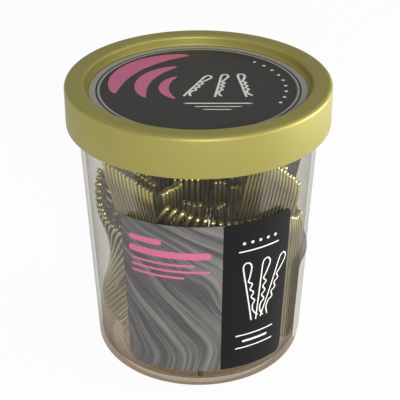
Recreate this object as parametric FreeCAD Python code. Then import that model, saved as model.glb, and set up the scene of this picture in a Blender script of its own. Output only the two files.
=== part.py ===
import FreeCAD, Part
import math
import os

# A round clear tub with a gold press-on lid, packed with strips of gold bobby pins.
# Millimetres, +Z up, origin at the centre of the tub's underside.

# Tub: a thin tapered cup with a foot ring below and a thicker band round its rim
TUB_HEIGHT = 90.3
TUB_BASE_RADIUS = 32.5
TUB_TOP_RADIUS = 37.0
TUB_WALL = 1.2
TUB_FLOOR = 1.8
TUB_BASE_ROUND = 4.2
TUB_FLOOR_BEVEL = 1.8
FOOT_RING_WIDTH = 3.4
FOOT_RECESS_DEPTH = 0.8
RIM_BAND_HEIGHT = 9.4
RIM_BAND_OUT = 0.64

# Lid: a skirt that snaps under the tub's rim band and a sunken panel that plugs its mouth
LID_WALL = 1.5
LID_ROOF = 1.4
LID_TOP_ROUND = 2.2
LID_RECESS_DEPTH = 4.2
LID_PANEL = 1.2
LID_PLUG_WALL = 1.31
LID_RIDGE_DEPTH = 0.61
LID_LEAD_IN = 1.2
LID_SEAT_GAP = 0.2
LID_SNAP_GAP = 0.25
LID_PLUG_GAP = 0.3

# Rounded corners are drawn as so many flats along their arcs
TUB_ROUND_FLAT_COUNT = 3
LID_ROUND_FLAT_COUNT = 2
SHEET_CORNER_FLAT_COUNT = 2

# Labels: a disc in the lid's recess and two sheets wrapped round the tub
LID_LABEL_MARGIN = 1.3
LID_LABEL_THICKNESS = 0.3
SHEET_THICKNESS = 0.2
SHEET_GLUE = 0.1
SHEET_CORNER_ROUND = 2.5
SHEET_CUT_OVERRUN = 1.0
FRONT_LABEL_FOOT = 7.8
FRONT_LABEL_HEIGHT = 52.8
FRONT_LABEL_FIRST_DEG = -129.3
FRONT_LABEL_SWEEP_DEG = 88.8
BACK_LABEL_FOOT = 5.8
BACK_LABEL_HEIGHT = 29.4
BACK_LABEL_FIRST_DEG = -25.0
BACK_LABEL_SWEEP_DEG = 82.0

# Bobby pin: one flat spring wire with a straight leg, a round head and a crimped leg
PIN_LENGTH = 45.0
PIN_WIDTH = 1.4
PIN_THICKNESS = 0.55
PIN_HEAD_WIDTH = 2.0
PIN_HEAD_SHOULDER = 1.2
PIN_LEG_GAP = 0.15
PIN_PINCH_DROP = 10.5
PIN_WAVE_RISE = 0.85
PIN_HALF_WAVE = 3.4
PIN_WAVE_BENDS = 6
PIN_TIP_FLARE = 1.3
PIN_TIP_RUN = 3.6
PIN_SHORT_LEG_STEP = 1.8

# How the pins lie in the tub
PIN_SIDE_GAP = 0.08
PIN_WALL_GAP = 0.3
PIN_FLOOR_GAP = 0.3

# Strips that follow the curve of the wall. Each row: name, pins, first angle round the tub
# in degrees, spacing as a multiple of pins that touch, sideways tilt in degrees, how far the
# feet stand off the wall as a share of the tub's base radius, and how high the first and the
# last pin sit, from 0 on the floor to 1 under the lid.
CURVED_STRIP_SHARES = [
    ("left_low_strip", 2, 159.8, 1.11, 42.0, 0.00, 0.337, 0.315),
    ("front_low_strip", 2, 190.6, 1.11, 42.0, 0.00, 0.289, 0.286),
    ("front_left_strip", 2, -103.5, 1.075, 20.0, 0.10, 0.412, 0.398),
    ("front_right_strip", 2, -82.7, 1.135, 6.5, 0.10, 0.326, 0.313),
    ("right_low_strip", 2, -30.8, 1.085, 0.0, 0.00, 0.141, 0.114),
    ("back_right_strip", 2, 1.2, 1.085, 0.0, 0.00, 0.000, 0.000),
    ("back_strip", 2, 48.8, 1.24, -20.0, 0.00, 0.057, 0.065),
    ("back_left_strip", 2, 91.4, 1.085, 0.0, 0.00, 0.037, 0.031),
]

# Flat strips whose end pins come up to the wall. Each row: name, pins, the direction that
# they face in degrees, the feet's share and the two heights as above, the row they stand in,
# from 0 at the wall inwards, the first pin's place along the row in pins from its middle,
# and half the whole row's length in pins, which sets how near the wall it comes.
FLAT_STRIP_SHARES = [
    ("left_upper_strip", 2, -129.5, 0.33, 0.578, 0.570, 0, 5.0, 6.0),
    ("left_inner_strip", 2, -129.5, 0.33, 0.600, 0.592, 1, 4.0, 6.0),
    ("right_upper_strip", 2, -44.0, 0.24, 0.932, 0.897, 0, -7.5, 7.5),
    ("back_upper_right_strip", 2, 22.0, 0.24, 0.589, 0.598, 0, -4.5, 4.5),
    ("back_upper_strip", 2, 80.0, 0.24, 0.621, 0.614, 0, 3.0, 4.0),
    ("back_upper_left_strip", 2, 112.0, 0.24, 0.657, 0.665, 0, 3.5, 4.5),
]

# Strips on the floor away from the wall. Each row: name, pins, the direction their straight
# legs face in degrees, and how far the strip stands from the axis, along that direction and
# across it, as shares of the room inside the wall at its heads.
INNER_STRIP_SHARES = [
    ("centre_strip", 2, -117.0, 0.028, -0.185),
    ("rear_strip", 2, -90.0, -0.510, -0.091),
    ("inner_right_strip", 2, -66.0, 0.206, 0.398),
]

# Strips that stand square to the end of a flat strip. Each row: name, pins, the flat strip's
# direction and half length as above, the distance from the axis as a share of the same room,
# the rise, and the tilt.
END_STRIP_SHARES = [
    ("corner_strip", 2, -129.5, 6.0, 0.684, 0.573, 12.0),
]

# The one pin that has slipped down to the front of the floor, its head leaning inward
STRAY_PIN_DEG = -89.0
STRAY_PIN_REACH_SHARE = -0.4


def tub_radius(height):
    """Outer radius of the tub's tapered wall at a height above the underside."""
    return TUB_BASE_RADIUS + (TUB_TOP_RADIUS - TUB_BASE_RADIUS) * height / TUB_HEIGHT


def tub_inner_radius(height):
    """Inner radius of the same wall."""
    return tub_radius(height) - TUB_WALL


def floor_height():
    return FOOT_RECESS_DEPTH + TUB_FLOOR


def tub_taper():
    """Angle of the tub's wall off the upright, in radians."""
    return math.atan((TUB_TOP_RADIUS - TUB_BASE_RADIUS) / TUB_HEIGHT)


def room_radius(height):
    """Inner radius that is free at a height, also beside the bevel above the floor."""
    below = max(0, floor_height() + TUB_FLOOR_BEVEL - height)
    return tub_inner_radius(height) - below


def rim_radius():
    """Outer radius of the band round the tub's rim."""
    return TUB_TOP_RADIUS + RIM_BAND_OUT


def lid_top():
    return TUB_HEIGHT + LID_SEAT_GAP + LID_ROOF


def panel_height():
    return lid_top() - LID_RECESS_DEPTH


def plug_foot():
    """Height of the underside of the lid's sunken panel."""
    return panel_height() - LID_PANEL


def plug_radius():
    return tub_inner_radius(plug_foot()) - LID_PLUG_GAP


def recess_radius():
    return plug_radius() - LID_PLUG_WALL


def arc_points(start, end, count):
    """Points from start to end along the arc that both lie on, with its centre at zero."""
    sweep = start.getAngle(end)
    points = []
    for i in range(count + 1):
        share = i / count
        from_start = math.sin((1 - share) * sweep) / math.sin(sweep)
        from_end = math.sin(share * sweep) / math.sin(sweep)
        points.append(start * from_start + end * from_end)
    return points


def rounded(before, corner, after, radius, flat_count):
    """The points that round one corner of an outline."""
    to_before = (before - corner).normalize()
    to_after = (after - corner).normalize()
    half_angle = to_before.getAngle(to_after) / 2
    reach = radius / math.tan(half_angle)
    centre = corner + (to_before + to_after).normalize() * (radius / math.sin(half_angle))
    start = corner + to_before * reach - centre
    end = corner + to_after * reach - centre
    return [centre + point for point in arc_points(start, end, flat_count)]


def turned(outline, flat_count):
    """Solid of revolution about Z. The outline lists (radius, height, rounding)."""
    corners = [FreeCAD.Vector(r, 0, z) for r, z, _ in outline]
    points = []
    for i, (_, _, radius) in enumerate(outline):
        if radius > 0:
            after = corners[(i + 1) % len(corners)]
            points.extend(rounded(corners[i - 1], corners[i], after, radius, flat_count))
        else:
            points.append(corners[i])
    face = Part.Face(Part.makePolygon(points + points[:1]))
    return face.revolve(FreeCAD.Vector(0, 0, 0), FreeCAD.Vector(0, 0, 1), 360)


def make_tub():
    foot_inner = TUB_BASE_RADIUS - TUB_BASE_ROUND - FOOT_RING_WIDTH
    floor = floor_height()
    bevel_top = floor + TUB_FLOOR_BEVEL
    band_foot = TUB_HEIGHT - RIM_BAND_HEIGHT
    band_under = band_foot - RIM_BAND_OUT
    return turned([
        (0, FOOT_RECESS_DEPTH, 0),
        (foot_inner - FOOT_RECESS_DEPTH, FOOT_RECESS_DEPTH, 0),
        (foot_inner, 0, 0),
        (TUB_BASE_RADIUS, 0, TUB_BASE_ROUND),
        (tub_radius(band_under), band_under, 0),
        (rim_radius(), band_foot, 0),
        (rim_radius(), TUB_HEIGHT, 0),
        (tub_inner_radius(TUB_HEIGHT), TUB_HEIGHT, 0),
        (tub_inner_radius(bevel_top), bevel_top, 0),
        (tub_inner_radius(floor) - TUB_FLOOR_BEVEL, floor, 0),
        (0, floor, 0),
    ], TUB_ROUND_FLAT_COUNT)


def make_lid():
    top = lid_top()
    ridge = rim_radius() + LID_SNAP_GAP
    skirt_inner = ridge + LID_RIDGE_DEPTH
    skirt_outer = skirt_inner + LID_WALL
    ridge_top = TUB_HEIGHT - RIM_BAND_HEIGHT - RIM_BAND_OUT - LID_SNAP_GAP
    ridge_crest = ridge_top - LID_RIDGE_DEPTH
    foot = ridge_crest - LID_LEAD_IN
    roof = top - LID_ROOF
    panel = panel_height()
    return turned([
        (skirt_inner, foot, 0),
        (skirt_outer, foot, 0),
        (skirt_outer, top, LID_TOP_ROUND),
        (recess_radius(), top, 0),
        (recess_radius(), panel, 0),
        (0, panel, 0),
        (0, plug_foot(), 0),
        (plug_radius(), plug_foot(), 0),
        (plug_radius(), roof, 0),
        (skirt_inner, roof, 0),
        (skirt_inner, ridge_top, 0),
        (ridge, ridge_crest, 0),
    ], LID_ROUND_FLAT_COUNT)


def make_lid_label():
    centre = FreeCAD.Vector(0, 0, panel_height())
    return Part.makeCylinder(recess_radius() - LID_LABEL_MARGIN, LID_LABEL_THICKNESS, centre)


def corner_cutter(angle_deg, height, turn, rise):
    """What rounding takes off one corner of a sheet, made at the end of the X axis.

    turn and rise are 1 or -1 and point from the middle of the sheet towards the corner.
    """
    radius = tub_radius(height)
    reach = SHEET_CORNER_ROUND + SHEET_CUT_OVERRUN
    start = FreeCAD.Vector(0, SHEET_CORNER_ROUND, 0)
    end = FreeCAD.Vector(0, 0, SHEET_CORNER_ROUND)
    outline = arc_points(start, end, SHEET_CORNER_FLAT_COUNT)
    outline.append(FreeCAD.Vector(0, 0, reach))
    outline.append(FreeCAD.Vector(0, reach, reach))
    outline.append(FreeCAD.Vector(0, reach, 0))
    points = [FreeCAD.Vector(radius - reach, p.y * turn, p.z * rise) for p in outline]
    section = Part.Face(Part.makePolygon(points + points[:1]))
    cutter = section.extrude(FreeCAD.Vector(2 * reach, 0, 0))
    inset_deg = math.degrees(SHEET_CORNER_ROUND / radius)
    cutter.rotate(FreeCAD.Vector(0, 0, 0), FreeCAD.Vector(0, 0, 1), angle_deg - turn * inset_deg)
    cutter.translate(FreeCAD.Vector(0, 0, height - rise * SHEET_CORNER_ROUND))
    return cutter


def make_sheet(foot, height, first_deg, sweep_deg):
    """A thin label wrapped on the tapered wall, with rounded corners."""
    top = foot + height
    foot_inner = tub_radius(foot) + SHEET_GLUE
    top_inner = tub_radius(top) + SHEET_GLUE
    corners = [
        FreeCAD.Vector(foot_inner, 0, foot),
        FreeCAD.Vector(foot_inner + SHEET_THICKNESS, 0, foot),
        FreeCAD.Vector(top_inner + SHEET_THICKNESS, 0, top),
        FreeCAD.Vector(top_inner, 0, top),
    ]
    section = Part.Face(Part.makePolygon(corners + corners[:1]))
    section.rotate(FreeCAD.Vector(0, 0, 0), FreeCAD.Vector(0, 0, 1), first_deg)
    sheet = section.revolve(FreeCAD.Vector(0, 0, 0), FreeCAD.Vector(0, 0, 1), sweep_deg)
    for edge_deg, turn in ((first_deg, -1), (first_deg + sweep_deg, 1)):
        sheet = sheet.cut(corner_cutter(edge_deg, foot, turn, -1))
        sheet = sheet.cut(corner_cutter(edge_deg, top, turn, 1))
    return sheet


def pin_path():
    """Centre line of the wire in the pin's own plane, with its middle height at zero."""
    reach = PIN_LENGTH - PIN_THICKNESS / 2
    shoulder = reach - PIN_HEAD_SHOULDER
    crown_in = PIN_HEAD_WIDTH / 4
    near = PIN_THICKNESS + PIN_LEG_GAP
    path = [
        (0, 0),
        (0, shoulder),
        (crown_in, reach),
        (PIN_HEAD_WIDTH - crown_in, reach),
        (PIN_HEAD_WIDTH, shoulder),
    ]
    along = PIN_LENGTH - PIN_PINCH_DROP
    for bend in range(PIN_WAVE_BENDS):
        outward = PIN_WAVE_RISE if bend % 2 else 0
        path.append((near + outward, along))
        along -= PIN_HALF_WAVE
    path.append((near, PIN_SHORT_LEG_STEP + PIN_TIP_RUN))
    path.append((near + PIN_TIP_FLARE, PIN_SHORT_LEG_STEP))
    side = -PIN_WIDTH / 2
    return [FreeCAD.Vector(across, side, along - PIN_LENGTH / 2) for across, along in path]


def wire_edge(path, side):
    """The path moved sideways by half the wire's thickness, with mitred bends."""
    moved = []
    for i, point in enumerate(path):
        before = (point - path[i - 1]).normalize() if i > 0 else None
        after = (path[i + 1] - point).normalize() if i + 1 < len(path) else None
        before = before or after
        after = after or before
        bisector = (before + after).normalize()
        normal = FreeCAD.Vector(bisector.z, 0, -bisector.x)
        mitre = PIN_THICKNESS / 2 / bisector.dot(before)
        moved.append(point + normal * (side * mitre))
    return moved


def make_pin():
    """One pin, its straight leg on the origin's line and its middle height at the origin."""
    path = pin_path()
    outline = wire_edge(path, 1) + wire_edge(path, -1)[::-1]
    face = Part.Face(Part.makePolygon(outline + outline[:1]))
    return face.extrude(FreeCAD.Vector(0, PIN_WIDTH, 0))


def stood(pin, middle, along, inward):
    """A copy of the pin with its length along one direction and its crimped leg inward."""
    across = along.cross(inward)
    place = FreeCAD.Matrix(
        inward.x, across.x, along.x, middle.x,
        inward.y, across.y, along.y, middle.y,
        inward.z, across.z, along.z, middle.z,
        0, 0, 0, 1)
    copy = pin.copy()
    copy.Placement = FreeCAD.Placement(place)
    return copy


def pin_depth():
    """How far the flared tip of the crimped leg stands off the straight leg's outer face."""
    return PIN_THICKNESS + PIN_LEG_GAP + PIN_TIP_FLARE + PIN_THICKNESS


def feet_lean(reach_share):
    """Lean off the upright that sets the feet off the wall while the head stays at it."""
    return tub_taper() + math.asin(reach_share * TUB_BASE_RADIUS / PIN_LENGTH)


def feet_height(tilt, lean, rise_share):
    """Height of the feet, between standing on the floor and the head under the lid."""
    lowest = floor_height() + PIN_FLOOR_GAP
    standing = PIN_LENGTH * math.cos(tilt) * math.cos(lean)
    highest = plug_foot() - PIN_FLOOR_GAP - standing
    return lowest + rise_share * (highest - lowest)


def pin_pitch():
    """Spacing of pins that lie side by side."""
    return PIN_WIDTH + PIN_SIDE_GAP


def wall_pin(pin, angle_deg, tilt_deg, reach_share, rise_share, row=0, beside=0, far=0):
    """A pin that stands against the tub's wall, tilted along it, its feet off it. Pins of a
    flat strip stand beside its middle, and far is where the strip ends."""
    angle = math.radians(angle_deg)
    tilt = math.radians(tilt_deg)
    lean = feet_lean(reach_share)
    outward = FreeCAD.Vector(math.cos(angle), math.sin(angle), 0)
    sideways = FreeCAD.Vector(-math.sin(angle), math.cos(angle), 0)
    up = FreeCAD.Vector(0, 0, 1)
    rise = up * math.cos(lean) + outward * math.sin(lean)
    along = rise * math.cos(tilt) + sideways * math.sin(tilt)
    inward = up * math.sin(lean) - outward * math.cos(lean)
    half = PIN_LENGTH / 2
    foot = feet_height(tilt, lean, rise_share)
    head = foot + 2 * half * along.z
    spread = half * abs(math.sin(tilt)) + PIN_WIDTH / 2 + far
    margin = PIN_WALL_GAP + PIN_THICKNESS / 2
    run_out = half * math.cos(tilt) * math.sin(lean)
    foot_room = room_radius(foot) - margin
    head_room = room_radius(head) - margin
    from_foot = math.sqrt(foot_room ** 2 - spread ** 2) + run_out
    from_head = math.sqrt(head_room ** 2 - spread ** 2) - run_out
    out = min(from_foot, from_head) - row * (pin_depth() + PIN_WALL_GAP)
    middle = outward * out + sideways * beside + up * ((foot + head) / 2)
    return stood(pin, middle, along, inward)


def strip_step(spacing, tilt_deg, reach_share):
    """Angle between neighbours of a strip in degrees, set where the pins come closest."""
    closest = tub_inner_radius(0) - reach_share * TUB_BASE_RADIUS - pin_depth()
    width = pin_pitch() / math.cos(math.radians(tilt_deg))
    return math.degrees(spacing * width / closest)


def make_curved_strip(pin, count, first_deg, spacing, tilt_deg, reach_share, first_rise, last_rise):
    step = strip_step(spacing, tilt_deg, reach_share)
    pins = []
    for i in range(count):
        rise = first_rise + (last_rise - first_rise) * i / (count - 1)
        pins.append(wall_pin(pin, first_deg + i * step, tilt_deg, reach_share, rise))
    return Part.makeCompound(pins)


def make_flat_strip(pin, count, angle_deg, reach_share, first_rise, last_rise, row, first, last):
    """Parallel pins in one plane, placed by their number along the strip."""
    pins = []
    for i in range(count):
        rise = first_rise + (last_rise - first_rise) * i / (count - 1)
        beside = (first + i) * pin_pitch()
        far = last * pin_pitch()
        pins.append(wall_pin(pin, angle_deg, 0, reach_share, rise, row, beside, far))
    return Part.makeCompound(pins)


def head_height(tilt, rise_share):
    """Height of the head of a pin that doesn't lean."""
    return feet_height(tilt, 0, rise_share) + PIN_LENGTH * math.cos(tilt)


def make_straight_strip(pin, count, facing_deg, out, across, rise_share, tilt):
    """Pins side by side in one straight row, square to the direction that they face."""
    facing = math.radians(facing_deg)
    outward = FreeCAD.Vector(math.cos(facing), math.sin(facing), 0)
    sideways = FreeCAD.Vector(-math.sin(facing), math.cos(facing), 0)
    up = FreeCAD.Vector(0, 0, 1)
    along = up * math.cos(tilt) + sideways * math.sin(tilt)
    height = head_height(tilt, rise_share) - PIN_LENGTH / 2 * math.cos(tilt)
    centre = outward * out + sideways * across + up * height
    pins = []
    for i in range(count):
        offset = (i - (count - 1) / 2) * pin_pitch() / math.cos(tilt)
        pins.append(stood(pin, centre + sideways * offset, along, outward * -1))
    return Part.makeCompound(pins)


def make_inner_strip(pin, count, facing_deg, out_share, across_share):
    """A strip on the floor away from the wall."""
    room = room_radius(head_height(0, 0))
    return make_straight_strip(pin, count, facing_deg, out_share * room, across_share * room, 0, 0)


def make_end_strip(pin, count, angle_deg, last, across_share, rise_share, tilt_deg):
    """A strip whose straight legs stand against the end of a flat strip."""
    tilt = math.radians(tilt_deg)
    out = last * pin_pitch() + PIN_WIDTH / 2 + PIN_WALL_GAP + PIN_THICKNESS / 2
    across = across_share * room_radius(head_height(tilt, rise_share))
    return make_straight_strip(pin, count, angle_deg - 90, -out, across, rise_share, tilt)


def save(shape, name):
    shape.exportStep("parts/" + name + ".step")


def main():
    os.makedirs("parts", exist_ok=True)
    save(make_tub(), "tub")
    save(make_lid(), "lid")
    save(make_lid_label(), "lid_label")
    save(make_sheet(FRONT_LABEL_FOOT, FRONT_LABEL_HEIGHT,
                    FRONT_LABEL_FIRST_DEG, FRONT_LABEL_SWEEP_DEG), "front_label")
    save(make_sheet(BACK_LABEL_FOOT, BACK_LABEL_HEIGHT,
                    BACK_LABEL_FIRST_DEG, BACK_LABEL_SWEEP_DEG), "back_label")
    pin = make_pin()
    for name, *row in CURVED_STRIP_SHARES:
        save(make_curved_strip(pin, *row), name)
    for name, *row in FLAT_STRIP_SHARES:
        save(make_flat_strip(pin, *row), name)
    for name, *row in INNER_STRIP_SHARES:
        save(make_inner_strip(pin, *row), name)
    for name, *row in END_STRIP_SHARES:
        save(make_end_strip(pin, *row), name)
    save(wall_pin(pin, STRAY_PIN_DEG, 0, STRAY_PIN_REACH_SHARE, 0), "stray_pin")


main()
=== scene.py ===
import bpy
import bmesh
import math
import random
from mathutils import Matrix, Vector


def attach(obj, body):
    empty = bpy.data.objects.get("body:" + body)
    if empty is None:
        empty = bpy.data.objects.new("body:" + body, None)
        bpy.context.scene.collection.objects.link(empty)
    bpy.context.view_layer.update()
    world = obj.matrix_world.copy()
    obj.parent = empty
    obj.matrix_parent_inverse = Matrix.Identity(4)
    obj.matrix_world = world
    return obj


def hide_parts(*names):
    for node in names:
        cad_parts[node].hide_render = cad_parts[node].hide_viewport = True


# A round clear tub with a gold press-on lid, packed with strips of gold bobby pins.
# Sizes below are in millimetres and are turned into metres by MM.

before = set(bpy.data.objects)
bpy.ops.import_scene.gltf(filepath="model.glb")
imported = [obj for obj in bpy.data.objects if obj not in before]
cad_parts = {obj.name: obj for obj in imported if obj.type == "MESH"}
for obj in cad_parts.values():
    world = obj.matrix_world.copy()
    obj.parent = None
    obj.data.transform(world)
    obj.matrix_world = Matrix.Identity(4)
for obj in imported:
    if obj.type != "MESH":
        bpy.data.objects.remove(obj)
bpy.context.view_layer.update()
MM = 0.001

# Tub and lid, as in the CAD part but for LID_TOP. The photo shows the lid's ring lower, and
# here it is as low as the tub's rim allows.
TUB_HEIGHT = 90.3
TUB_BASE_RADIUS = 32.5
TUB_TOP_RADIUS = 37.0
TUB_WALL = 1.2
FLOOR_TOP = 2.6
FLOOR_CORNER = 1.8
FOOT_HOLLOW = 0.8
OUTER_CORNER = 4.2
INNER_CORNER = 3.0
RIM_RADIUS = 37.64
RIM_FOOT = 80.6
RIM_EDGE = 0.4
LID_TOP = 91.0
LID_FOOT = 78.2
LID_RADIUS = 40.0
LID_INNER = 38.5
LID_SHOULDER = 1.4
LID_EDGE = 0.4
RIDGE_RADIUS = 37.98
RING_UNDERSIDE = 90.5
PLUG_RADIUS = 35.31
PLUG_FOOT = 86.5
PANEL_TOP = 87.7
RECESS_RADIUS = 34.0
RECESS_SHOULDER = 1.0
RECESS_FILLET = 0.5
LATHE_STEPS = 192
SHARP_DEG = 40

# One pin. PIN_NEAR is how near the crimp's crests come to the straight leg and PIN_DEPTH the
# depth of the whole pin. Bow and crimp start below the head, the flare above the foot.
PIN_LENGTH = 45.0
PIN_WIDTH = 1.4
PIN_THICKNESS = 0.55
PIN_NEAR = 0.7
PIN_DEPTH = 2.55
HEAD_BOW = 0.5
HEAD_REACH = 2.0
HEAD_BEND = 0.75
HEAD_BEND_DEG = 165
BOW_START = 6.0
BOW_RUN = 4.9
CRIMP_START = 10.5
CRIMP_RUN = 17.0
CRIMP_DEPTH = 0.85
CRIMP_HALF_WAVE = 3.4
FLARE_START = 5.4
FLARE_END = 1.8
FLARE_OUT = 1.3
# The wire's section, as shares of half its width and half its thickness
WIRE_SECTION = ((1, 0), (0.92, -0.45), (0.7, -0.8), (0.3, -1), (-0.3, -1), (-0.7, -0.8),
                (-0.92, -0.45), (-1, 0), (-0.92, 0.45), (-0.7, 0.8), (-0.3, 1), (0.3, 1),
                (0.7, 0.8), (0.92, 0.45))
# The ball at each tip, from its end inwards, as shares of the wire's thickness and width
TIP_THICK = (0.55, 1.25, 1.5, 1.25)
TIP_WIDE = (0.45, 0.85, 0.95, 0.97)
# The head is painted brighter, a painted highlight, and over HEAD_HIGHLIGHT_RUN that fades to
# none at HEAD_HIGHLIGHT_END below it. From EDGE_START of the half width outwards it is painted
# darker, a painted shade between pins, over EDGE_RUN.
HEAD_HIGHLIGHT_END = 6.5
HEAD_HIGHLIGHT_RUN = 4.5
EDGE_START = 0.45
EDGE_RUN = 0.45

# Pins in a strip: their pitch, how far each is turned (degrees) and slid out of line, and
# the gaps they keep. STANDING_HEAD is the head's height when a pin stands on the floor.
PIN_PITCH = 1.48
PIN_TURN = 3.0
PIN_SLIDE = 0.25
PIN_SHARP_DEG = 50
WALL_GAP = 0.3
ROW_GAP = 0.3
STANDING_HEAD = 47.9
FAN_HEADS_RADIUS = 32.4

# Labels: foot, height, first angle and sweep of the wrapped sheets, the share of the front
# one's width where the print turns black, and how far faces and marks are off the wall
FRONT_SHEET = (7.8, 52.8, -129.3, 88.8)
BACK_SHEET = (5.8, 29.4, -25.0, 82.0)
FRONT_SPLIT = 0.574
SHEET_CORNER = 2.5
SHEET_OUTER = 0.3
SHEET_INNER = 0.1
PRINT_OFF = 0.315
DISC_RADIUS = 32.7
DISC_TOP = 88.0
DISC_EDGE = 0.1
FIELD_RADIUS = 29.5
RING_FROM = 30.2
RING_TO = 30.8
DISC_PRINT_OFF = 0.02
DOT_SIDES = 12


def tub_radius(height):
    return TUB_BASE_RADIUS + (TUB_TOP_RADIUS - TUB_BASE_RADIUS) * height / TUB_HEIGHT


def room_radius(height):
    """How far from the axis there is room inside the tub, less near the floor's corner."""
    below = max(0, FLOOR_TOP + FLOOR_CORNER - height)
    return tub_radius(height) - TUB_WALL - below


# ---------------------------------------------------------------- materials

class Nodes:
    """The node tree of a material or world, with short calls to add and join nodes."""

    def __init__(self, owner, output):
        self.owner = owner
        owner.use_nodes = True
        self.tree = owner.node_tree
        self.tree.nodes.clear()
        self.out = self.add(output)

    def add(self, kind, **inputs):
        """A new node. Each input is named after its socket, with _ for a space."""
        node = self.tree.nodes.new(kind)
        for name, value in inputs.items():
            self.put(node, name.replace("_", " "), value)
        return node

    def put(self, node, socket, value):
        """Sets a socket to a number or colour, or joins it to another node's output."""
        target = node.inputs[socket]
        if isinstance(value, bpy.types.NodeSocket):
            self.tree.links.new(value, target)
        elif isinstance(value, tuple):
            target.default_value = (*value, 1)
        else:
            target.default_value = value

    def math(self, operation, *values):
        node = self.add("ShaderNodeMath")
        node.operation = operation
        for i, value in enumerate(values):
            self.put(node, i, value)
        return node.outputs[0]

    def ramp(self, value, stops):
        """A colour ramp. stops lists (position, colour)."""
        node = self.add("ShaderNodeValToRGB")
        self.put(node, 0, value)
        elements = node.color_ramp.elements
        while len(elements) < len(stops):
            elements.new(0.5)
        for element, (place, colour) in zip(elements, stops):
            element.position = place
            element.color = (*colour, 1)
        return node.outputs[0]

    def mix(self, amount, a, b):
        """A colour from a to b. The mix node's colour sockets are 6 and 7, its output 2."""
        node = self.add("ShaderNodeMix")
        node.data_type = "RGBA"
        for socket, value in ((0, amount), (6, a), (7, b)):
            self.put(node, socket, value)
        return node.outputs[2]

    def noise(self, vector, scale, detail, roughness):
        return self.add("ShaderNodeTexNoise", Vector=vector, Scale=scale, Detail=detail,
                        Roughness=roughness).outputs["Fac"]

    def coordinates(self, kind="Object"):
        return self.add("ShaderNodeTexCoord").outputs[kind]

    def attribute(self, name):
        node = self.add("ShaderNodeAttribute")
        node.attribute_name = name
        return node.outputs["Fac"]

    def bump(self, height, strength, distance):
        return self.add("ShaderNodeBump", Height=height, Strength=strength,
                        Distance=distance).outputs[0]

    def principled(self, **inputs):
        return self.add("ShaderNodeBsdfPrincipled", **inputs).outputs[0]

    def shader_mix(self, amount, a, b):
        node = self.add("ShaderNodeMixShader")
        for socket, value in enumerate((amount, a, b)):
            self.put(node, socket, value)
        return node.outputs[0]

    def seen_ray(self):
        """1 for the rays by which the camera sees the stage, also in the gloss and through
        the tub."""
        rays = self.add("ShaderNodeLightPath").outputs
        seen = self.math("MAXIMUM", rays["Is Camera Ray"], rays["Is Glossy Ray"])
        return self.math("MAXIMUM", seen, rays["Is Transmission Ray"])

    def finish(self, shader):
        self.put(self.out, "Surface", shader)
        return self.owner


def material_nodes(name):
    return Nodes(bpy.data.materials.new(name), "ShaderNodeOutputMaterial")


def srgb(r, g, b):
    """A colour of a screen pixel as the linear values that shaders take."""
    def linear(c):
        c = c / 255
        return c / 12.92 if c <= 0.04045 else ((c + 0.055) / 1.055) ** 2.4
    return (linear(r), linear(g), linear(b))


def gold_lid_material():
    """Moulded plastic with fine gold flake in it: satin, with a soft broad highlight."""
    n = material_nodes("gold_lid")
    place = n.coordinates()
    flake = n.noise(place, scale=5200, detail=2, roughness=0.6)
    cloud = n.noise(place, scale=45, detail=3, roughness=0.5)
    base = n.mix(cloud, srgb(131, 123, 57), srgb(145, 137, 68))
    base = n.mix(n.math("MULTIPLY", flake, 0.35), base, srgb(184, 176, 100))
    rough = n.math("MULTIPLY_ADD", flake, 0.10, 0.45)
    height = n.math("ADD", n.math("MULTIPLY", flake, 0.5), cloud)
    normal = n.bump(height, strength=0.06, distance=0.0001)
    return n.finish(n.principled(Base_Color=base, Metallic=0.45, Roughness=rough,
                                 Normal=normal, Specular_IOR_Level=0.5))


def clear_plastic_material():
    """Clear moulded plastic with a grey haze at grazing angles, and a painted brown reflection of
    the pins near its foot.
    """
    n = material_nodes("clear_tub")
    place = n.coordinates()
    ripple = n.noise(place, scale=60, detail=2, roughness=0.4)
    scuff = n.noise(place, scale=700, detail=3, roughness=0.6)
    facing = n.add("ShaderNodeLayerWeight", Blend=0.5).outputs["Facing"]
    haze = n.math("MULTIPLY_ADD", n.math("POWER", facing, 8.0), 0.40, 0.02)
    haze = n.math("MULTIPLY_ADD", scuff, 0.015, haze)
    # Below this height the see-through colour turns brown, a painted reflection of the gold pins
    painted_reflection_height = 12 * MM
    height = n.add("ShaderNodeSeparateXYZ", Vector=place).outputs["Z"]
    low = n.math("SUBTRACT", 1.0, n.math("DIVIDE", height, painted_reflection_height))
    low = n.math("MINIMUM", n.math("MAXIMUM", low, 0.0), 1.0)
    normal = n.bump(ripple, strength=0.10, distance=0.0004)
    body = n.principled(Base_Color=srgb(150, 148, 140), Roughness=0.45, Normal=normal)
    clear = n.mix(n.math("POWER", facing, 2.0), (0.945, 0.94, 0.92), (0.80, 0.79, 0.765))
    through = n.add("ShaderNodeBsdfTransparent", Color=n.mix(low, clear, (0.54, 0.44, 0.35)))
    hazy = n.shader_mix(haze, through.outputs[0], body)
    gloss = n.add("ShaderNodeBsdfAnisotropic", Color=(0.8, 0.8, 0.8), Roughness=0.16,
                  Normal=normal)
    fresnel = n.add("ShaderNodeFresnel", IOR=1.38, Normal=normal)
    shine = n.math("MULTIPLY", fresnel.outputs[0], 0.16)
    return n.finish(n.shader_mix(shine, hazy, gloss.outputs[0]))


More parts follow.
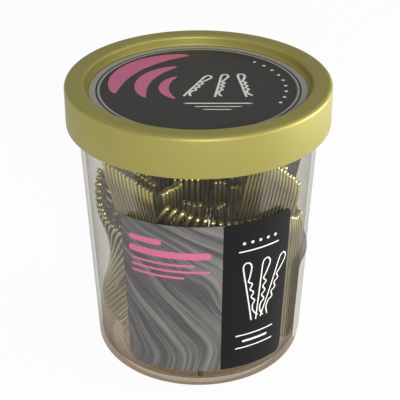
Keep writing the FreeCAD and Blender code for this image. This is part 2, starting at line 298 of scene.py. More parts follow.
def gold_pin_material():
    """Gold lacquer on spring steel, with a painted highlight near the head and painted shade on
    the wire's edges.
    """
    n = material_nodes("gold_pin")
    place = n.coordinates()
    rubbed = n.noise(place, scale=220, detail=1, roughness=0.4)
    patch = n.noise(place, scale=140, detail=2, roughness=0.5)
    leg = n.mix(patch, srgb(122, 104, 46), srgb(174, 156, 76))
    head = n.mix(patch, srgb(192, 178, 96), srgb(226, 215, 140))
    # The head's brighter colour is a painted highlight
    base = n.mix(n.attribute("head_highlight"), leg, head)
    # The wire's edges are painted darker, a painted shade between pins
    base = n.mix(n.math("MULTIPLY", n.attribute("edge"), 0.85), base, srgb(58, 46, 24))
    rough = n.math("MULTIPLY_ADD", rubbed, 0.06, 0.29)
    normal = n.bump(rubbed, strength=0.02, distance=0.00004)
    return n.finish(n.principled(Base_Color=base, Metallic=0.9, Roughness=rough, Normal=normal,
                                 Coat_Weight=0.5, Coat_Roughness=0.2))


def paper_grain(n, place, least_rough):
    """The fine grain of varnished paper, and a roughness that follows it."""
    grain = n.noise(place, scale=2600, detail=3, roughness=0.6)
    return grain, n.math("MULTIPLY_ADD", grain, 0.12, least_rough)


def printed_face(n, dark, light, least_rough, shine=0.5):
    """The colour and the shader of paper or one ink, both a little uneven."""
    place = n.coordinates()
    grain, rough = paper_grain(n, place, least_rough)
    cloud = n.noise(place, scale=90, detail=2, roughness=0.5)
    base = n.mix(n.math("MULTIPLY", n.math("ADD", grain, cloud), 0.5), dark, light)
    normal = n.bump(grain, strength=0.08, distance=0.00003)
    return base, n.principled(Base_Color=base, Roughness=rough, Normal=normal,
                              Specular_IOR_Level=shine)


def ink_material(name, colour, least_rough, shine=0.5):
    """One ink on varnished paper."""
    n = material_nodes(name)
    dark = tuple(c * 0.86 for c in colour)
    return n.finish(printed_face(n, dark, colour, least_rough, shine)[1])


def paper_material(name, through_share):
    """White sticker paper that lets some light through."""
    n = material_nodes(name)
    base, face = printed_face(n, srgb(190, 187, 177), srgb(205, 202, 192), 0.32)
    through = n.add("ShaderNodeBsdfTranslucent", Color=base)
    return n.finish(n.shader_mix(through_share, face, through.outputs[0]))


def hair_print_material():
    """A grey print of flowing locks of hair, drawn from bands bent by noise."""
    n = material_nodes("hair_print")
    place = n.coordinates("UV")
    split = n.add("ShaderNodeSeparateXYZ", Vector=place)
    u, v = split.outputs["X"], split.outputs["Y"]
    # Locks run down from the upper left and curl to the lower right
    bend = n.noise(place, scale=1.7, detail=1, roughness=0.4)
    lean = n.math("MULTIPLY_ADD", n.math("MULTIPLY", v, v), 0.8, u)
    flow = n.math("ADD", lean, n.math("MULTIPLY", bend, 0.45))
    along = n.math("MULTIPLY_ADD", u, -0.4, v)
    # Fine strands, then broad locks, then a lightening to the right
    tone = -0.58
    for across_scale, along_scale, detail, share in ((150.0, 1.8, 3, 1.0), (16.0, 0.9, 1, 0.8)):
        streak = n.add("ShaderNodeCombineXYZ", X=n.math("MULTIPLY", flow, across_scale),
                       Y=n.math("MULTIPLY", along, along_scale))
        strands = n.noise(streak.outputs[0], scale=1.0, detail=detail, roughness=0.7)
        tone = n.math("MULTIPLY_ADD", strands, share, tone)
    tone = n.math("MULTIPLY_ADD", u, 0.14, tone)
    base = n.ramp(tone, [(0.10, srgb(38, 37, 36)), (0.35, srgb(76, 74, 72)),
                         (0.60, srgb(124, 122, 118)), (0.90, srgb(182, 180, 174))])
    rough = paper_grain(n, n.coordinates(), 0.32)[1]
    return n.finish(n.principled(Base_Color=base, Roughness=rough))


def floor_material():
    """A pale floor that the camera sees as near white, with the object's soft shadow."""
    n = material_nodes("floor")
    lit = n.add("ShaderNodeBsdfDiffuse", Color=(0.8, 0.8, 0.8))
    glow = n.add("ShaderNodeEmission", Color=(1.0, 1.0, 1.0), Strength=1.0)
    share = n.math("MULTIPLY", n.seen_ray(), 0.94)
    return n.finish(n.shader_mix(share, lit.outputs[0], glow.outputs[0]))


# ---------------------------------------------------------------- meshes

def add_object(name, mesh, materials, replaces=(), body="tub_body"):
    piece = bpy.data.objects.new(name, mesh)
    bpy.context.scene.collection.objects.link(piece)
    for material in materials:
        mesh.materials.append(material)
    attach(piece, body)
    if replaces:
        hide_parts(*replaces)


def finished_mesh(name, shape):
    """A mesh from a bmesh, with its faces outwards and smooth between sharp edges."""
    mesh = bpy.data.meshes.new(name)
    bmesh.ops.recalc_face_normals(shape, faces=shape.faces)
    shape.to_mesh(mesh)
    shape.free()
    mesh.shade_smooth()
    mesh.set_sharp_from_angle(angle=math.radians(SHARP_DEG))
    return mesh


def arc(centre_x, centre_y, radius, first_deg, last_deg, steps):
    """Points of an arc, as (r, z) in a lathe's outline or (x, y) on a label."""
    points = []
    for i in range(steps + 1):
        angle = math.radians(first_deg + (last_deg - first_deg) * i / steps)
        points.append((centre_x + radius * math.cos(angle), centre_y + radius * math.sin(angle)))
    return points


def lathe(name, outline):
    """A closed outline of (r, z) turned about Z. Points on the axis become one vertex."""
    shape = bmesh.new()
    rings = []
    for r, z in outline:
        if r < 1e-6:
            rings.append([shape.verts.new((0, 0, z * MM))])
            continue
        ring = []
        for i in range(LATHE_STEPS):
            angle = 2 * math.pi * i / LATHE_STEPS
            place = (r * MM * math.cos(angle), r * MM * math.sin(angle), z * MM)
            ring.append(shape.verts.new(place))
        rings.append(ring)
    for i, ring in enumerate(rings):
        after = rings[(i + 1) % len(rings)]
        if len(ring) == 1 and len(after) == 1:
            continue
        for j in range(LATHE_STEPS):
            k = (j + 1) % LATHE_STEPS
            unique = []
            for corner in (ring[j % len(ring)], ring[k % len(ring)], after[k % len(after)],
                           after[j % len(after)]):
                if corner not in unique:
                    unique.append(corner)
            shape.faces.new(unique)
    return finished_mesh(name, shape)


def tub_mesh():
    """The cup: foot ring, tapered wall, and the band under the rim. Up outside, down inside."""
    taper = math.degrees(math.atan((TUB_TOP_RADIUS - TUB_BASE_RADIUS) / TUB_HEIGHT))
    rim_side = RIM_RADIUS - RIM_EDGE
    rim_inside = TUB_TOP_RADIUS - TUB_WALL + RIM_EDGE
    rim_top = TUB_HEIGHT - RIM_EDGE
    outline = [(0, FOOT_HOLLOW), (24.0, FOOT_HOLLOW), (24.5, 0.55), (24.9, 0.06), (25.3, 0)]
    outline += arc(28.55, OUTER_CORNER, OUTER_CORNER, -90, -taper, 10)
    outline += [(tub_radius(h), h) for h in (12, 30, 50, 70, 80.26)]
    outline += [(37.25, RIM_FOOT)] + arc(rim_side, RIM_FOOT + 0.6, RIM_EDGE, -45, 0, 3)
    outline += arc(rim_side, rim_top, RIM_EDGE, 0, 90, 4)
    outline += arc(rim_inside, rim_top, RIM_EDGE, 90, 180, 4)
    outline += [(tub_radius(h) - TUB_WALL, h) for h in (70, 50, 30, 12, 6)]
    outline += arc(28.85, FLOOR_TOP + INNER_CORNER, INNER_CORNER, -2, -90, 8)
    outline += [(0, FLOOR_TOP)]
    return lathe("tub_shell", outline)


def lid_mesh():
    """The lid: skirt, shoulder, raised ring, sunken panel, plug, and ridge in the skirt."""
    lip = 0.45
    outline = arc(LID_INNER + LID_EDGE, LID_FOOT + LID_EDGE, LID_EDGE, 180, 270, 3)
    outline += arc(LID_RADIUS - lip, LID_FOOT + lip, lip, -90, 0, 4)
    outline += arc(LID_RADIUS - LID_SHOULDER, LID_TOP - LID_SHOULDER, LID_SHOULDER, 0, 90, 12)
    outline += arc(RECESS_RADIUS + RECESS_SHOULDER, LID_TOP - RECESS_SHOULDER,
                   RECESS_SHOULDER, 90, 180, 8)
    outline += arc(RECESS_RADIUS - RECESS_FILLET, PANEL_TOP + RECESS_FILLET,
                   RECESS_FILLET, 0, -90, 4)
    outline += [(0, PANEL_TOP), (0, PLUG_FOOT)]
    outline += arc(PLUG_RADIUS - LID_EDGE, PLUG_FOOT + LID_EDGE, LID_EDGE, -90, 0, 3)
    outline += [(PLUG_RADIUS, RING_UNDERSIDE), (LID_INNER, RING_UNDERSIDE), (LID_INNER, 80.0)]
    outline += [(RIDGE_RADIUS, 79.5), (RIDGE_RADIUS, 79.3)]
    return lathe("lid_shell", outline)


# ---------------------------------------------------------------- pins

# A pin's own frame: X from the straight leg towards the crimped leg, Z from feet to head
def pin_outline():
    """Centre line of the bent wire, as (x, z) from the straight leg's foot over the head to
    the crimped leg's foot."""
    half = PIN_LENGTH / 2
    reach = half - PIN_THICKNESS / 2
    points = [(0, -half + rise) for rise in (0.12, 0.35, 0.75, 1.15, 1.5)]
    points += [(0, -half / 3), (0, half / 3)]
    for i in range(6):
        share = i / 5
        points.append((HEAD_BOW * share ** 2, reach - BOW_START + BOW_RUN * share))
    points += arc(HEAD_REACH - HEAD_BEND, reach - HEAD_BEND, HEAD_BEND, HEAD_BEND_DEG, 0, 7)
    pinch = half - CRIMP_START
    for i in range(1, 6):
        share = i / 5
        bend = 0.5 + 0.5 * math.cos(math.pi * share)
        z = reach - HEAD_BEND + (pinch - reach + HEAD_BEND) * share
        points.append((PIN_NEAR + (HEAD_REACH - PIN_NEAR) * bend, z))
    for i in range(1, 21):
        z = pinch - CRIMP_RUN * i / 20
        wave = 0.5 - 0.5 * math.cos(math.pi * (pinch - z) / CRIMP_HALF_WAVE)
        points.append((PIN_NEAR + CRIMP_DEPTH * wave, z))
    low = pinch - CRIMP_RUN
    flare = -half + FLARE_START
    for i in range(1, 5):
        share = i / 4
        wave = 0.5 + 0.5 * math.cos(math.pi * share)
        points.append((PIN_NEAR + CRIMP_DEPTH * wave, low + (flare - low) * share))
    foot = -half + FLARE_END
    for i in range(1, 6):
        share = i / 5
        points.append((PIN_NEAR + FLARE_OUT * share ** 1.6, flare + (foot - flare) * share))
    return points


def pin_parts():
    """Vertices and faces of one pin, in metres: a flat rounded wire with ball tips."""
    points = pin_outline()
    last = len(points) - 1
    size = len(WIRE_SECTION)
    vertices = []
    for i, (x, z) in enumerate(points):
        before = points[max(0, i - 1)]
        after = points[min(last, i + 1)]
        run_x, run_z = after[0] - before[0], after[1] - before[1]
        length = math.hypot(run_x, run_z)
        normal_x, normal_z = run_z / length, -run_x / length
        from_tip = min(i, last - i)
        thick, wide = 1.0, 1.0
        if from_tip < len(TIP_THICK):
            thick, wide = TIP_THICK[from_tip], TIP_WIDE[from_tip]
        for width_share, thickness_share in WIRE_SECTION:
            y = width_share * PIN_WIDTH / 2 * wide
            off = thickness_share * PIN_THICKNESS / 2 * thick
            vertices.append(((x + normal_x * off) * MM, y * MM, (z + normal_z * off) * MM))
    faces = []
    for i in range(last):
        for j in range(size):
            k = (j + 1) % size
            faces.append((i * size + j, i * size + k, (i + 1) * size + k, (i + 1) * size + j))
    faces.append(tuple(range(size))[::-1])
    faces.append(tuple(last * size + j for j in range(size)))
    return vertices, faces


def clamped(value):
    return min(1.0, max(0.0, value))


PIN_VERTICES, PIN_FACES = pin_parts()
# Per vertex, the share of painted highlight, 1 at the head, and of painted shade, by how near it
# is to an edge of the wire
PIN_HEAD_HIGHLIGHT = []
PIN_EDGE_SHADE = []
for vertex in PIN_VERTICES:
    below_head = PIN_LENGTH / 2 - vertex[2] / MM
    from_middle = abs(vertex[1]) / MM / (PIN_WIDTH / 2)
    PIN_HEAD_HIGHLIGHT.append(clamped((HEAD_HIGHLIGHT_END - below_head) / HEAD_HIGHLIGHT_RUN))
    PIN_EDGE_SHADE.append(clamped((from_middle - EDGE_START) / EDGE_RUN))


def pins_object(name, places, material, replaces=()):
    """One mesh of pins, each set by a matrix from the pin's own frame."""
    uneven = random.Random(name)
    vertices = []
    faces = []
    for place in places:
        start = len(vertices)
        turn = Matrix.Rotation(math.radians(uneven.uniform(-PIN_TURN, PIN_TURN)), 4, "Z")
        slide = Matrix.Translation((0, 0, uneven.uniform(-PIN_SLIDE, PIN_SLIDE) * MM))
        vertices += [place @ slide @ turn @ Vector(v) for v in PIN_VERTICES]
        faces += [tuple(start + i for i in face) for face in PIN_FACES]
    mesh = bpy.data.meshes.new(name)
    mesh.from_pydata(vertices, [], faces)
    mesh.shade_smooth()
    mesh.set_sharp_from_angle(angle=math.radians(PIN_SHARP_DEG))
    for attribute_name, values in (("head_highlight", PIN_HEAD_HIGHLIGHT), ("edge", PIN_EDGE_SHADE)):
        attribute = mesh.attributes.new(attribute_name, "FLOAT", "POINT")
        attribute.data.foreach_set("value", values * len(places))
    add_object(name, mesh, [material], replaces)


def directions(facing_deg):
    """The unit vectors outwards and sideways at a direction round the tub."""
    facing = math.radians(facing_deg)
    outward = Vector((math.cos(facing), math.sin(facing), 0))
    sideways = Vector((-math.sin(facing), math.cos(facing), 0))
    return outward, sideways


def pin_place(facing_deg, tilt_deg, lean_deg, middle):
    """The matrix of a pin whose straight leg faces a direction round the tub."""
    tilt = math.radians(tilt_deg)
    lean = math.radians(lean_deg)
    outward, sideways = directions(facing_deg)
    up = Vector((0, 0, 1))
    rise = up * math.cos(lean) + outward * math.sin(lean)
    along = rise * math.cos(tilt) + sideways * math.sin(tilt)
    inward = up * math.sin(lean) - outward * math.cos(lean)
    across = along.cross(inward)
    rows = [[inward[i], across[i], along[i], middle[i] * MM] for i in range(3)]
    return Matrix(rows + [[0, 0, 0, 1]])


def feet_lean_deg(reach_share):
    """The lean of a pin whose feet reach inwards by a share of the tub's base radius."""
    taper = math.atan((TUB_TOP_RADIUS - TUB_BASE_RADIUS) / TUB_HEIGHT)
    return math.degrees(taper + math.asin(reach_share * TUB_BASE_RADIUS / PIN_LENGTH))


def wall_pin(facing_deg, tilt_deg, reach_share, head, row=0, beside=0.0, far=None):
    """A pin at the wall. row counts rows inwards, beside moves it along a flat row, and far
    is the place of the flat row's last pin, which sets how near the wall the row comes."""
    lean_deg = feet_lean_deg(reach_share)
    lean = math.radians(lean_deg)
    tilt = math.radians(tilt_deg)
    outward, sideways = directions(facing_deg)
    half = PIN_LENGTH / 2
    foot = head - PIN_LENGTH * math.cos(tilt) * math.cos(lean)
    spread = half * abs(math.sin(tilt)) + PIN_WIDTH / 2 + abs(beside if far is None else far)
    run_out = half * math.cos(tilt) * math.sin(lean)
    margin = WALL_GAP + PIN_THICKNESS / 2
    from_foot = math.sqrt((room_radius(foot) - margin) ** 2 - spread ** 2) + run_out
    from_head = math.sqrt((room_radius(head) - margin) ** 2 - spread ** 2) - run_out
    out = min(from_foot, from_head) - row * (PIN_DEPTH + ROW_GAP)
    middle = outward * out + sideways * beside + Vector((0, 0, (foot + head) / 2))
    return pin_place(facing_deg, tilt_deg, lean_deg, middle)


def between(place, pairs):
    """A value read off a line through (place, value) pairs."""
    if place <= pairs[0][0]:
        return pairs[0][1]
    for (x0, y0), (x1, y1) in zip(pairs, pairs[1:]):
        if place <= x1:
            return y0 + (y1 - y0) * (place - x0) / (x1 - x0)
    return pairs[-1][1]


def curved(count, first_deg, step_deg, tilt_deg, reach_share, *heads):
    """Pins that follow the curve of the wall. Heads are (facing deg, height) pairs between
    which the height runs evenly."""
    places = []
    for i in range(count):
        facing_deg = first_deg + i * step_deg
        head = between(facing_deg, heads)
        places.append(wall_pin(facing_deg, tilt_deg, reach_share, head))
    return places


def flat(count, facing_deg, reach_share, first_head, last_head, row=0, half_length=None):
    """A flat row of parallel pins. half_length is the half length, in pins, of the row that
    comes up to the wall, where this one stands behind a longer row."""
    first = -(count - 1) / 2
    far = (half_length or -first) * PIN_PITCH
    places = []
    for i in range(count):
        head = first_head + (last_head - first_head) * i / max(1, count - 1)
        beside = (first + i) * PIN_PITCH
        places.append(wall_pin(facing_deg, 0, reach_share, head, row, beside, far))
    return places


def fan(count, first_deg, step_deg, reach_share, tilts, *heads):
    """Pins at the wall placed by their heads, with a tilt that runs from pin to pin."""
    places = []
    for i in range(count):
        head_deg = first_deg + i * step_deg
        tilt_deg = between(head_deg, tilts)
        sideways = PIN_LENGTH / 2 * math.sin(math.radians(tilt_deg))
        turn_deg = math.degrees(math.asin(sideways / FAN_HEADS_RADIUS))
        head = between(head_deg, heads)
        places.append(wall_pin(head_deg - turn_deg, tilt_deg, reach_share, head))
    return places


def standing(count, x, y, along_deg, head=STANDING_HEAD, pitch=PIN_PITCH, bow=0.0, tilt_deg=0.0):
    """A row of pins centred at x, y that runs along a direction. bow turns it by degrees
    per mm."""
    along = math.radians(along_deg)
    half = PIN_LENGTH / 2 * math.cos(math.radians(tilt_deg))
    places = []
    for i in range(count):
        offset = (i - (count - 1) / 2) * pitch
        turn_deg = bow * offset
        sag = bow * math.radians(1) * offset ** 2 / 2
        spot = Vector((x + offset * math.cos(along) - sag * math.sin(along),
                       y + offset * math.sin(along) + sag * math.cos(along),
                       head - half))
        places.append(pin_place(along_deg - 90 + turn_deg, tilt_deg, 0, spot))
    return places


# ---------------------------------------------------------------- labels

def sheet_point(foot, height, first_deg, sweep_deg, off, u, v):
    """A point of a wrapped sheet: u along it and v up it, both from 0 to 1."""
    z = foot + height * v
    angle = math.radians(first_deg + sweep_deg * u)
    r = tub_radius(z) + off
    return Vector((r * math.cos(angle) * MM, r * math.sin(angle) * MM, z * MM))


def sheet_width(foot, height, sweep_deg):
    return math.radians(sweep_deg) * tub_radius(foot + height / 2)


def sheet_mesh(name, foot, height, first_deg, sweep_deg, split=2.0):
    """A label sheet on the tapered wall, with rounded corners and UVs. Its outer face has
    material 0 left of split and 1 right of it, and its inner face and edges have 2."""
    columns, rows, corner_rows = 96, 56, 8
    corner = SHEET_CORNER
    width = sheet_width(foot, height, sweep_deg)
    heights = [height * i / rows for i in range(rows + 1)]
    for i in range(1, corner_rows):
        rise = corner * (i / corner_rows) ** 2
        heights += [rise, height - rise]
    heights = sorted(set(round(h, 4) for h in heights))
    shape = bmesh.new()
    uv_layer = shape.loops.layers.uv.new("UVMap")
    grids = []
    for off in (SHEET_OUTER, SHEET_INNER):
        grid = []
        for h in heights:
            near = min(h, height - h)
            inset = 0
            if near < corner:
                inset = corner - math.sqrt(max(0, corner ** 2 - (corner - near) ** 2))
            line = []
            for j in range(columns + 1):
                u = inset / width + (1 - 2 * inset / width) * j / columns
                place = sheet_point(foot, height, first_deg, sweep_deg, off, u, h / height)
                line.append((shape.verts.new(place), (u, h / height)))
            grid.append(line)
        grids.append(grid)

    def face(index, *corners):
        made = shape.faces.new([vertex for vertex, uv in corners])
        for loop, (vertex, uv) in zip(made.loops, corners):
            loop[uv_layer].uv = uv
        made.material_index = index

    outer, inner = grids
    for low_out, high_out, low_in, high_in in zip(outer, outer[1:], inner, inner[1:]):
        for j in range(columns):
            k = j + 1
            corners = (low_out[j], low_out[k], high_out[k], high_out[j])
            middle_u = sum(uv[0] for vertex, uv in corners) / 4
            face(1 if middle_u > split else 0, *corners)
            face(2, low_in[j], high_in[j], high_in[k], low_in[k])
        face(2, low_out[0], high_out[0], high_in[0], low_in[0])
        face(2, low_out[-1], low_in[-1], high_in[-1], high_out[-1])
    for j in range(columns):
        k = j + 1
        face(2, outer[0][j], inner[0][j], inner[0][k], outer[0][k])
        face(2, outer[-1][j], outer[-1][k], inner[-1][k], inner[-1][j])
    return finished_mesh(name, shape)


def on_front(x, z):
    """A printed mark's place on the front label: x along it and z up from its foot, in mm."""
    foot, height, first_deg, sweep_deg = FRONT_SHEET
    u = x / sheet_width(foot, height, sweep_deg)
    return sheet_point(foot, height, first_deg, sweep_deg, PRINT_OFF, u, z / height)


def on_disc(x, y):
    return Vector((x * MM, y * MM, (DISC_TOP + DISC_PRINT_OFF) * MM))


def band_quads(path, width, place):
    """Quads of a line of the given width along a path of (x, y) points in mm."""
    sides = []
    for i, (x, y) in enumerate(path):
        before = path[max(0, i - 1)]
        after = path[min(len(path) - 1, i + 1)]
        run_x, run_y = after[0] - before[0], after[1] - before[1]
        length = math.hypot(run_x, run_y)
        nx, ny = -run_y / length * width / 2, run_x / length * width / 2
        sides.append((place(x + nx, y + ny), place(x - nx, y - ny)))
    return [(a[1], b[1], b[0], a[0]) for a, b in zip(sides, sides[1:])]


def smooth_path(points, steps):
    """A Catmull-Rom curve through points, with a number of steps between each two."""
    path = []
    last = len(points) - 1
    for i in range(last):
        p0, p1, p2, p3 = points[max(0, i - 1)], points[i], points[i + 1], points[min(last, i + 2)]
        for j in range(steps):
            t = j / steps
            spot = []
            for k in (0, 1):
                spot.append(0.5 * (2 * p1[k] + (p2[k] - p0[k]) * t
                                   + (2 * p0[k] - 5 * p1[k] + 4 * p2[k] - p3[k]) * t ** 2
                                   + (3 * p1[k] - p0[k] - 3 * p2[k] + p3[k]) * t ** 3))
            path.append(tuple(spot))
    path.append(points[last])
    return path


def pin_drawing(x, y, length, turn_deg, width, place):
    """A line drawing of a pin: one straight leg, a round head and a waved leg."""
    drawn_length = 45
    widen = 1.25
    points = [(0, -22), (0, -8), (0, 8), (0, 18)]
    points += [(0.6, 21.2), (2.2, 22.4), (3.8, 21.2), (4.4, 18), (2.6, 11), (1.6, 8)]
    for i in range(6):
        points.append((3.4 if i % 2 == 0 else 1.8, 5.2 - i * 3.2))
    points += [(1.8, -15.5), (4.0, -20)]
    share = length / drawn_length
    turn = math.radians(turn_deg)
    path = []
    for px, py in smooth_path(points, 5):
        px, py = px * share * widen, py * share
        path.append((x + px * math.cos(turn) - py * math.sin(turn),
                     y + px * math.sin(turn) + py * math.cos(turn)))
    return band_quads(path, width, place)


def dot_quads(x, y, radius, place):
    """A dot as a fan of triangles."""
    ring = [place(*point) for point in arc(x, y, radius, 0, 360, DOT_SIDES)[:-1]]
    centre = place(x, y)
    return [(centre, ring[i], ring[(i + 1) % DOT_SIDES]) for i in range(DOT_SIDES)]


def bar_quads(x0, x1, y, width, place):
    """A bar with round ends, in steps of about 1 mm so that it follows the wall."""
    steps = max(2, int(abs(x1 - x0)))
    path = [(x0 + (x1 - x0) * i / steps, y) for i in range(steps + 1)]
    quads = band_quads(path, width, place)
    return quads + dot_quads(x0, y, width / 2, place) + dot_quads(x1, y, width / 2, place)


def crescent_quads(radius, width, first_deg, last_deg, place):
    """An arc about the label's middle that thins out to both ends, in steps of 3 degrees."""
    steps = int((last_deg - first_deg) / 3)
    sides = []
    for i, (x, y) in enumerate(arc(0, 0, radius, first_deg, last_deg, steps)):
        half = width / 2 * math.sin(math.pi * i / steps) ** 0.6
        outwards, inwards = (radius + half) / radius, (radius - half) / radius
        sides.append((place(x * outwards, y * outwards), place(x * inwards, y * inwards)))
    return [(a[0], b[0], b[1], a[1]) for a, b in zip(sides, sides[1:])]


def marks_object(name, faces, material, body):
    """Flat printed marks as one mesh of separate faces."""
    vertices = []
    indices = []
    for corners in faces:
        start = len(vertices)
        vertices += corners
        indices.append(tuple(range(start, start + len(corners))))
    mesh = bpy.data.meshes.new(name)
    mesh.from_pydata(vertices, [], indices)
    mesh.validate()
    add_object(name, mesh, [material], body=body)


# ---------------------------------------------------------------- build

gold_lid = gold_lid_material()
clear_tub = clear_plastic_material()
gold_pin = gold_pin_material()
paper_white = paper_material("paper_white", 0.45)
paper_inside = paper_material("paper_inside", 1.0)
ink_dark = ink_material("ink_dark", srgb(44, 43, 41), 0.28, 0.25)
ink_black = ink_material("ink_black", srgb(18, 18, 18), 0.36, 0.12)
ink_pink = ink_material("ink_pink", srgb(192, 94, 130), 0.28)
ink_white = ink_material("ink_white", srgb(222, 219, 212), 0.30)
hair_print = hair_print_material()

add_object("tub_shell", tub_mesh(), [clear_tub], ["tub"])
add_object("lid_shell", lid_mesh(), [gold_lid], ["lid"], "lid_body")
add_object("front_sheet", sheet_mesh("front_sheet", *FRONT_SHEET, FRONT_SPLIT),
           [hair_print, ink_black, paper_inside], ["front_label"])
add_object("back_sheet", sheet_mesh("back_sheet", *BACK_SHEET),
           [paper_white, paper_white, paper_inside], ["back_label"])

# The disc in the lid: white border, a thin dark ring, a thin white ring and a dark field
disc = lathe("disc_print", [(0, DISC_TOP), (FIELD_RADIUS, DISC_TOP), (RING_FROM, DISC_TOP),
                            (RING_TO, DISC_TOP), (DISC_RADIUS - DISC_EDGE, DISC_TOP),
                            (DISC_RADIUS, DISC_TOP - DISC_EDGE), (DISC_RADIUS, PANEL_TOP),
                            (0, PANEL_TOP)])
add_object("disc_print", disc, [paper_white, ink_dark], ["lid_label"], "lid_body")
for polygon in disc.polygons:
    spot = polygon.center
    radius = math.hypot(spot.x, spot.y) / MM
    on_top = spot.z > (DISC_TOP - 0.01) * MM
    dark = radius < FIELD_RADIUS or RING_FROM < radius < RING_TO
    polygon.material_index = 1 if on_top and dark else 0

disc_white = []
for turn_deg, x in ((-24, -1.0), (-8, 6.0), (8, 13.0)):
    disc_white += pin_drawing(x, 1.5, 17, turn_deg, 0.75, on_disc)
dots_radius = 26.2
for i in range(9):
    angle = math.radians(48 - i * 9)
    disc_white += dot_quads(dots_radius * math.cos(angle), dots_radius * math.sin(angle), 0.55,
                            on_disc)
for x0, x1, y, width in ((-4.0, 15.5, -11.2, 0.7), (-1.0, 12.5, -13.4, 0.5),
                         (1.5, 9.5, -15.4, 0.5)):
    disc_white += bar_quads(x0, x1, y, width, on_disc)
# Crescents that nest in each other along the left of the field
disc_pink = []
for radius, width, first_deg, last_deg in ((25.2, 6.6, 96, 190), (17.2, 4.6, 112, 205),
                                           (10.4, 3.0, 128, 230)):
    disc_pink += crescent_quads(radius, width, first_deg, last_deg, on_disc)
marks_object("disc_white_marks", disc_white, ink_white, "lid_body")
marks_object("disc_pink_marks", disc_pink, ink_pink, "lid_body")

front_pink = []
for x1, z, width in ((12.0, 46.5, 1.9), (26.0, 42.6, 2.3), (22.0, 39.2, 0.8),
                     (26.5, 37.0, 0.8), (19.0, 34.8, 0.8)):
    front_pink += bar_quads(3.5, x1, z, width, on_front)
front_white = []
for turn_deg, x in ((10, 38.2), (-4, 42.4), (-18, 46.6)):
    front_white += pin_drawing(x, 27.5, 22, turn_deg, 0.45, on_front)
for i in range(5):
    front_white += dot_quads(36.6 + i * 2.6, 45.6, 0.5, on_front)
for x0, x1, z, width in ((35.2, 48.4, 42.8, 0.45), (35.2, 48.4, 12.0, 0.45),
                         (37.6, 46.0, 9.6, 0.8), (35.2, 48.4, 7.2, 0.45)):
    front_white += bar_quads(x0, x1, z, width, on_front)
marks_object("front_pink_marks", front_pink, ink_pink, "tub_body")
marks_object("front_white_marks", front_white, ink_white, "tub_body")

# Heights of the heads, as (direction round the tub in degrees, height)
LOW_LEFT = ((141, 57.6), (166, 51.6), (194, 50.6), (239, 50.0), (258, 47.4))
LOW_RIGHT = ((-62, 52.0), (-33, 54.0), (-26, 51.6), (-14, 50.0), (-4, STANDING_HEAD))
LOW_BACK = ((-8, STANDING_HEAD), (30, 48.2), (90, 49.4), (107, 48.0))
FRONT = ((-104, 64.8), (-90, 61.9), (-76, 59.6), (-50, 57.5))
FRONT_TILTS = ((-105, 32), (-90, 20), (-86, 20), (-78, 6.5), (-74, 6.5), (-66, 0))
# Strips of the part, each at its full length
STRIPS = {
    "left_low_strip": curved(9, 142.2, 4.4, 42, 0, *LOW_LEFT),
    "front_low_strip": curved(9, 181.8, 4.4, 42, 0, *LOW_LEFT),
    "left_upper_strip": flat(13, -129.5, 0.33, 72.9, 69.0),
    "left_inner_strip": flat(11, -129.5, 0.33, 73.1, 69.8, row=1, half_length=6),
    "corner_strip": standing(6, -6.3, -23.6, 230.5, head=69.4, pitch=1.513, tilt_deg=12),
    "front_left_strip": fan(6, -105.2, 3.83, 0.10, FRONT_TILTS, *FRONT),
    "front_right_strip": fan(8, -82.2, 3.83, 0.10, FRONT_TILTS, *FRONT),
    "right_upper_strip": flat(16, -44.0, 0.24, 83.5, 63.2),
    "right_low_strip": curved(9, -34.0, 3.2, 0, 0, *LOW_RIGHT),
    "back_right_strip": curved(9, -5.2, 3.2, 0, 0, *LOW_BACK),
    "back_strip": curved(8, 41.0, 3.9, -20, 0, (41, 46.8), (67, 49.0)),
    "back_upper_strip": flat(9, 80.0, 0.24, 73.0, 71.0),
    "back_upper_right_strip": flat(10, 22.0, 0.24, 70.0, 73.0),
    "back_upper_left_strip": flat(10, 112.0, 0.24, 70.0, 73.0),
    "back_left_strip": curved(8, 85.0, 3.2, 0, 0, *LOW_BACK),
    "centre_strip": standing(8, -6.0, 2.0, -27, pitch=1.9, bow=1.5),
    "rear_strip": standing(5, -4.0, 17.2, 0, pitch=1.9),
    "inner_right_strip": standing(3, 14.4, -1.2, 24),
    "stray_pin": [wall_pin(-89.0, 0, -0.4, 46.5)],
}
# Further strips between those, which the part leaves out
MORE = {
    "more_front_low": curved(9, 221.4, 4.4, 42, 0, *LOW_LEFT),
    "more_right_front_low": curved(8, -62.8, 3.2, 0, 0, *LOW_RIGHT),
    "more_back_upper_middle": flat(9, 51.0, 0.24, 72.0, 70.0),
    "more_left_upper_back": flat(10, 147.0, 0.24, 68.0, 70.0),
    "more_back_middle": curved(4, 24.2, 3.2, 0, 0, *LOW_BACK),
    "more_rear_middle": standing(3, 6.9, 14.6, -10),
    "more_rear_right": standing(3, 12.1, 11.1, -20),
    "more_middle": standing(3, 7.7, -0.6, 53),
    "more_right_middle": standing(5, 20.2, 1.0, -62, bow=-4),
    "more_right_upper_second": flat(9, -44.0, 0.24, 80.0, 70.0, row=1),
}
for name, places in STRIPS.items():
    pins_object(name + "_pins", places, gold_pin, [name])
for name, places in MORE.items():
    pins_object(name, places, gold_pin)

# ---------------------------------------------------------------- stage, light, camera

# A floor that reaches 6 m each way, past what the camera sees
floor_mesh = bpy.data.meshes.new("floor")
floor_mesh.from_pydata([(-6, -6, 0), (6, -6, 0), (6, 6, 0), (-6, 6, 0)], [], [(0, 1, 2, 3)])
floor_mesh.materials.append(floor_material())
floor = bpy.data.objects.new("floor", floor_mesh)
bpy.context.scene.collection.objects.link(floor)


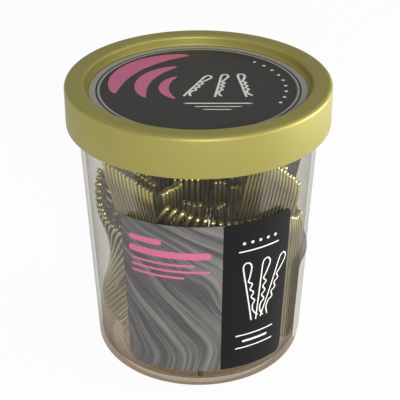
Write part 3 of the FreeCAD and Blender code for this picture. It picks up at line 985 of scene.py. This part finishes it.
def backdrop_world():
    """Even light all round, and a backdrop for the camera that is pale at the horizon and
    darker overhead."""
    n = Nodes(bpy.data.worlds.new("world"), "ShaderNodeOutputWorld")
    ambient = n.add("ShaderNodeBackground", Color=(0.96, 0.98, 1.0), Strength=0.30)
    height = n.add("ShaderNodeSeparateXYZ", Vector=n.coordinates("Generated")).outputs["Z"]
    sweep = n.ramp(height, [(0.10, (0.75, 0.75, 0.75)), (0.45, (0.25, 0.25, 0.25))])
    backdrop = n.add("ShaderNodeBackground", Color=sweep, Strength=1.0)
    return n.finish(n.shader_mix(n.seen_ray(), ambient.outputs[0], backdrop.outputs[0]))


bpy.context.scene.world = backdrop_world()


def aimed(thing, place, target):
    """Puts a lamp or camera at a place, looking at a target, and into the scene."""
    thing.location = place
    aim = Vector(target) - Vector(place)
    thing.rotation_euler = aim.to_track_quat("-Z", "Y").to_euler()
    bpy.context.scene.collection.objects.link(thing)


def soft_light(name, place, target, size, watts):
    data = bpy.data.lights.new(name, "AREA")
    data.shape = "RECTANGLE"
    data.size, data.size_y = size
    data.energy = watts
    aimed(bpy.data.objects.new(name, data), place, target)


soft_light("key", (0.10, -0.82, 0.45), (0, 0, 0.06), (0.34, 0.22), 7.2)
soft_light("front_fill", (0.10, -0.90, 0.20), (0, 0, 0.05), (0.40, 0.20), 0.4)
soft_light("right_side", (0.75, -0.20, 0.30), (0, 0, 0.05), (0.4, 0.4), 2.0)
soft_light("left_side", (-0.75, -0.15, 0.30), (0, 0, 0.05), (0.4, 0.4), 0.6)
soft_light("top_back", (-0.10, 0.35, 0.70), (0, 0, 0.06), (0.5, 0.3), 0.5)
soft_light("right_low", (0.78, 0.18, 0.06), (0, 0, 0.03), (0.5, 0.10), 7.0)

# The camera is fitted to the photo's outlines of the lid, tub and labels
camera_data = bpy.data.cameras.new("camera")
camera_data.sensor_fit = "HORIZONTAL"
camera_data.sensor_width = 36
camera_data.lens = 109.85
camera = bpy.data.objects.new("camera", camera_data)
aimed(camera, (0, -0.33446, 0.23727), (0.000456, 0, 0.04948))
bpy.context.scene.camera = camera

bpy.context.scene.view_settings.view_transform = "Standard"
